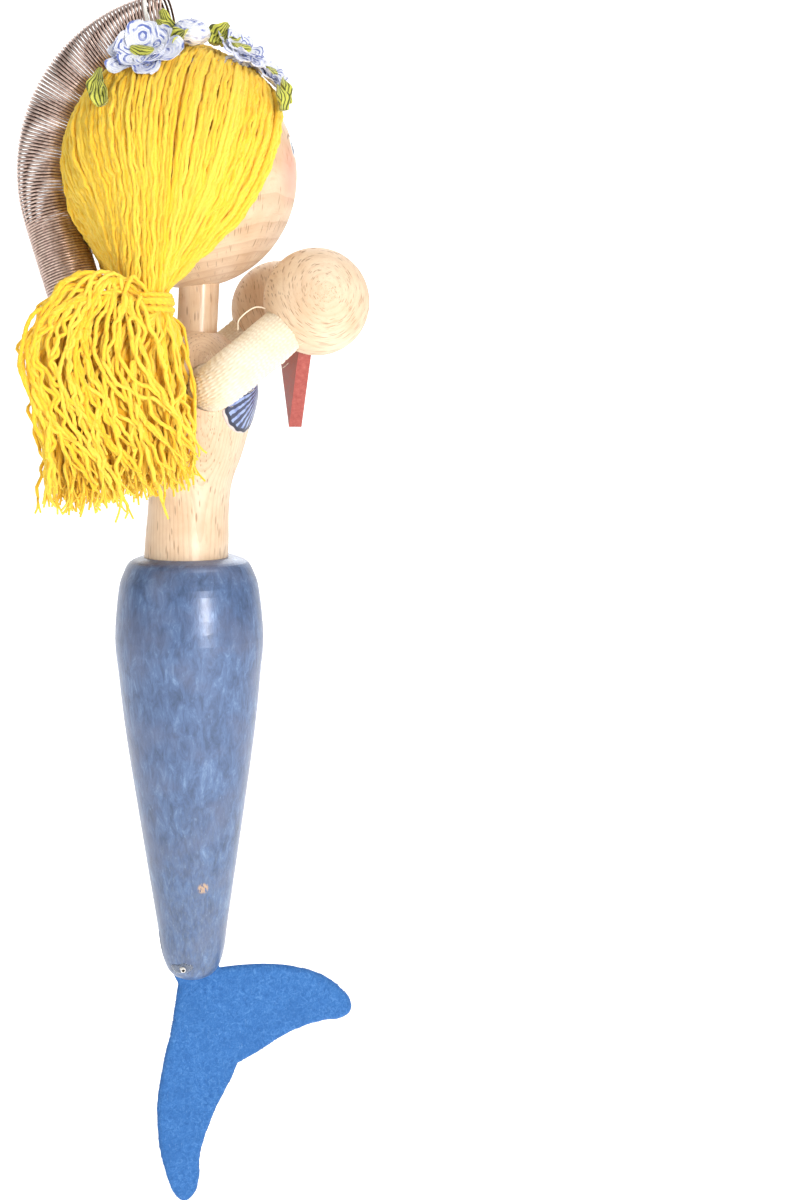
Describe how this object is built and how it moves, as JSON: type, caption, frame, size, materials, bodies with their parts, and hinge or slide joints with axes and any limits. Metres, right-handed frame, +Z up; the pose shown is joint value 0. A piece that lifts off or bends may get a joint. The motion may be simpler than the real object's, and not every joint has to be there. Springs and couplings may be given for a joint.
{
  "type": "hanging spring figure",
  "caption": "Turned wooden mermaid figure with rope arms, yarn pigtails, felt fin and a coil spring on its crown to hang and bounce by.",
  "frame": {"origin": "crown of the head, where the spring's cord loop leaves the wood", "axes": "+Z up the figure, +X the way it faces, its right side at -Y"},
  "size_m": [0.0647, 0.0547, 0.2447],
  "materials": {
    "head_beech": "fine-turned beech ball, waxed, with a painted doll face",
    "beech": "fine-turned beech, waxed",
    "tail_paint": "satin blue glaze over beech, slightly mottled",
    "felt": "dense craft felt",
    "white_cord": "thin white cotton cord",
    "rope": "woven cotton rope",
    "heart_paint": "red-brown paint on plywood, satin",
    "shell_print": "printed decal, lavender blue with dark ribs",
    "yarn": "twisted wool yarn",
    "ribbon_white": "woven trim, white with wavy blue lines",
    "ribbon_green": "woven trim, yellow green with dark wavy lines",
    "spring_steel": "bright drawn wire"
  },
  "bodies": {
    "figure": {"head": "head_beech", "neck_dowel": "beech", "torso": "beech", "shell_right": "shell_print", "shell_left": "shell_print", "tail": "tail_paint", "fin": "felt", "fin_stitch": "white_cord", "hair_right": "yarn", "hair_left": "yarn", "hair_tie_right": "yarn", "hair_tie_left": "yarn", "wreath_band": "ribbon_white", "wreath_leaves": "ribbon_green", "wreath_centres": "ribbon_green", "wreath_bud": "ribbon_white", "flower_1": "ribbon_white", "flower_2": "ribbon_white", "flower_3": "ribbon_white", "flower_4": "ribbon_white", "flower_5": "ribbon_white", "crown_cord": "white_cord"},
    "arms": {"arm_rope": "rope", "hand_right": "beech", "hand_left": "beech", "heart": "heart_paint"},
    "pigtail_right": {"pigtail_right": "yarn"},
    "pigtail_left": {"pigtail_left": "yarn"},
    "spring_1": {"cord_loop": "white_cord", "spring_end": "spring_steel", "spring_1": "spring_steel"},
    "spring_2": {"spring_2": "spring_steel"},
    "spring_3": {"spring_3": "spring_steel"},
    "spring_4": {"spring_4": "spring_steel"},
    "spring_5": {"spring_5": "spring_steel"},
    "spring_6": {"spring_6": "spring_steel", "spring_straight": "spring_steel"},
    "spring_eye": {"spring_eye": "spring_steel"}
  },
  "joints": [
    {"name": "arms_swing", "type": "hinge", "parent": "figure", "child": "arms", "pos_m": [0.0025, 0, -0.062], "axis": [0, 1, 0], "range_deg": [-7, 39]},
    {"name": "pigtail_right_swing", "type": "hinge", "parent": "figure", "child": "pigtail_right", "pos_m": [-0.01, -0.0155, -0.0472], "axis": [0, 1, 0], "range_deg": [0, 20]},
    {"name": "pigtail_left_swing", "type": "hinge", "parent": "figure", "child": "pigtail_left", "pos_m": [-0.008, 0.017, -0.0472], "axis": [0, 1, 0], "range_deg": [0, 20]},
    {"name": "spring_unfold", "type": "hinge", "parent": "figure", "child": "spring_1", "pos_m": [-0.00178, 0.00083, 0.00356], "axis": [0.4226, 0.9063, 0], "range_deg": [0, 101.33], "deforming": ["spring_end", "spring_1", "cord_loop"]},
    {"name": "spring_bend_2", "type": "hinge", "parent": "spring_1", "child": "spring_2", "pos_m": [-0.00727, 0.00339, -0.00048], "axis": [0.4226, 0.9063, 0], "range_deg": [0, 19.14], "deforming": ["spring_2"]},
    {"name": "spring_bend_3", "type": "hinge", "parent": "spring_2", "child": "spring_3", "pos_m": [-0.01312, 0.00612, -0.00427], "axis": [0.4226, 0.9063, 0], "range_deg": [0, 19.14], "deforming": ["spring_3"]},
    {"name": "spring_bend_4", "type": "hinge", "parent": "spring_3", "child": "spring_4", "pos_m": [-0.01751, 0.00817, -0.00997], "axis": [0.4226, 0.9063, 0], "range_deg": [0, 19.14], "deforming": ["spring_4"]},
    {"name": "spring_bend_5", "type": "hinge", "parent": "spring_4", "child": "spring_5", "pos_m": [-0.01997, 0.00931, -0.01694], "axis": [0.4226, 0.9063, 0], "range_deg": [0, 19.14], "deforming": ["spring_5"]},
    {"name": "spring_bend_6", "type": "hinge", "parent": "spring_5", "child": "spring_6", "pos_m": [-0.02022, 0.00943, -0.02441], "axis": [0.4226, 0.9063, 0], "range_deg": [0, 19.14], "deforming": ["spring_6"]},
    {"name": "spring_stretch", "type": "slide", "parent": "spring_6", "child": "spring_eye", "axis": [0.265, -0.1236, -0.9563], "range_m": [0, 0.012], "stiffness_N_per_m": 15, "springref_m": -0.01, "deforming": ["spring_straight"]}
  ],
  "couplings": [
    {"joint": "spring_bend_2", "follows": "spring_unfold", "ratio": 0.18884},
    {"joint": "spring_bend_3", "follows": "spring_unfold", "ratio": 0.18884},
    {"joint": "spring_bend_4", "follows": "spring_unfold", "ratio": 0.18884},
    {"joint": "spring_bend_5", "follows": "spring_unfold", "ratio": 0.18884},
    {"joint": "spring_bend_6", "follows": "spring_unfold", "ratio": 0.18884}
  ]
}
